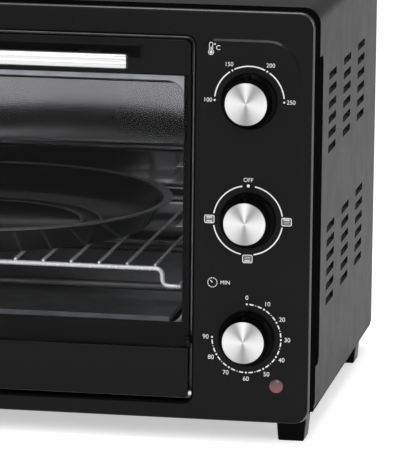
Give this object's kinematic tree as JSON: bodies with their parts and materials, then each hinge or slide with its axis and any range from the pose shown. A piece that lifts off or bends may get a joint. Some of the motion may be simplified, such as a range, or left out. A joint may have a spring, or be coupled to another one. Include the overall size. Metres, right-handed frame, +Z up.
{
  "type": "toaster oven",
  "caption": "Countertop toaster oven with a glass drop-down door, side control column with rotary knobs, louvred cover, wire rack, round pan and crumb tray.",
  "frame": {"origin": "centre of the bounding box's footprint, on the counter", "axes": "+Z up, -Y out of the front, +X to the right seen from the front"},
  "size_m": [0.512, 0.394, 0.3197],
  "materials": {
    "black_enamel": "gloss",
    "cover_paint": "satin",
    "galvanised": "satin",
    "dark_steel": "matte",
    "liner_steel": "satin",
    "heater_sheath": "matte",
    "ceramic": "matte",
    "black_plastic": "satin",
    "black_gloss": "gloss",
    "switch_plastic": "matte",
    "bell_steel": "polished",
    "lens_red": "gloss",
    "screw_steel": "satin",
    "tray_metal": "satin",
    "chrome_wire": "polished",
    "pan_coating": "satin",
    "tinted_glass": "gloss",
    "handle_metal": "satin",
    "knob_metal": "spun"
  },
  "bodies": {
    "housing": {"front_bezel": "black_enamel", "outer_cover": "cover_paint", "base_plate": "dark_steel", "back_cover": "galvanised", "oven_liner": "liner_steel", "front_flange": "galvanised", "rack_rail_left": "liner_steel", "rack_rail_right": "liner_steel", "side_grip_left": "black_plastic", "side_grip_right": "black_plastic", "upper_heater_front": "heater_sheath", "upper_heater_rear": "heater_sheath", "lower_heater_front": "heater_sheath", "lower_heater_rear": "heater_sheath", "heater_insulators": "ceramic", "heat_shield": "galvanised", "control_bracket": "galvanised", "thermostat_switch": "switch_plastic", "selector_switch": "black_plastic", "timer_body": "switch_plastic", "timer_bell": "bell_steel", "lamp_holder": "switch_plastic", "indicator_lens": "lens_red", "hinge_block_left": "dark_steel", "hinge_block_right": "dark_steel", "foot_front_left": "black_plastic", "foot_front_right": "black_plastic", "foot_rear_left": "black_plastic", "foot_rear_right": "black_plastic", "foot_screws": "screw_steel", "back_screws": "screw_steel", "bracket_screws": "screw_steel", "rear_spacers": "black_plastic", "cable_gland": "black_plastic", "terminal_block": "ceramic"},
    "door": {"door_glass": "tinted_glass", "door_top_trim": "black_gloss", "door_bottom_trim": "black_gloss", "door_seal_left": "black_plastic", "door_seal_right": "black_plastic", "door_handle_bar": "handle_metal", "handle_posts": "black_plastic", "handle_screws": "screw_steel", "hinge_arm_left": "dark_steel", "hinge_arm_right": "dark_steel", "hinge_pins": "screw_steel"},
    "rack": {"wire_rack": "chrome_wire"},
    "pan": {"pizza_pan": "pan_coating"},
    "tray": {"crumb_tray": "tray_metal"},
    "thermostat": {"thermostat_knob": "black_plastic", "thermostat_cap": "knob_metal", "thermostat_shaft": "screw_steel"},
    "selector": {"selector_knob": "black_plastic", "selector_cap": "knob_metal", "selector_shaft": "screw_steel"},
    "timer": {"timer_knob": "black_plastic", "timer_cap": "knob_metal", "timer_shaft": "screw_steel"}
  },
  "joints": [
    {"name": "door_hinge", "type": "hinge", "parent": "housing", "child": "door", "pos_m": [-0.0354, -0.1594, 0.0348], "axis": [1, 0, 0], "range_deg": [0, 88]},
    {"name": "rack_slide", "type": "slide", "parent": "housing", "child": "rack", "axis": [0, -1, 0], "range_m": [0, 0.154]},
    {"name": "tray_slide", "type": "slide", "parent": "housing", "child": "tray", "axis": [0, -1, 0], "range_m": [0, 0.093]},
    {"name": "pan_lift", "type": "slide", "parent": "rack", "child": "pan", "axis": [0, 0, 1], "range_m": [0, 0.04]},
    {"name": "thermostat_turn", "type": "hinge", "parent": "housing", "child": "thermostat", "pos_m": [0.209, -0.164, 0.2541], "axis": [0, 1, 0], "range_deg": [-90, 90]},
    {"name": "selector_turn", "type": "hinge", "parent": "housing", "child": "selector", "pos_m": [0.209, -0.164, 0.1665], "axis": [0, 1, 0], "range_deg": [0, 270]},
    {"name": "timer_turn", "type": "hinge", "parent": "housing", "child": "timer", "pos_m": [0.209, -0.164, 0.0789], "axis": [0, 1, 0], "range_deg": [0, 270]}
  ],
  "couplings": [
    {"joint": "rack_slide", "follows": "door_hinge", "m_per_rad": 0.1},
    {"joint": "tray_slide", "follows": "door_hinge", "m_per_rad": 0.06}
  ]
}
